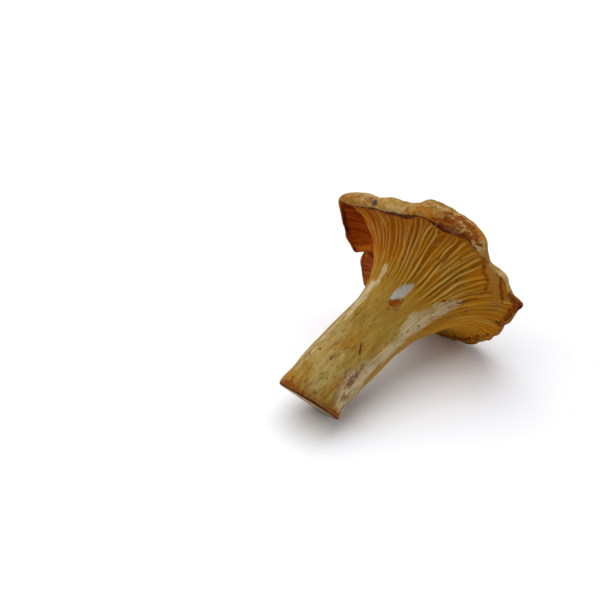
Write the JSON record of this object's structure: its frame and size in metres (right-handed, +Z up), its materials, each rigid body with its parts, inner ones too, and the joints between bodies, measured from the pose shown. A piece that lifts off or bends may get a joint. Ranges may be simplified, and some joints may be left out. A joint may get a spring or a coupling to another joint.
{
  "type": "chanterelle mushroom",
  "caption": "Whole picked chanterelle lying on its side: a solid stem cut across at its foot, flaring into a wavy cap with forking blunt ridges running down its underside.",
  "frame": {"origin": "bottom centre of the bounding box of the mushroom as it lies", "axes": "+Z up from the surface it lies on, +X along the ground under the stem from the cut foot towards the cap"},
  "size_m": [0.0704, 0.0628, 0.0516],
  "materials": {
    "flesh": "matt, suede-like golden-ochre mushroom flesh"
  },
  "bodies": {
    "root": {"mushroom": "flesh"}
  },
  "joints": []
}
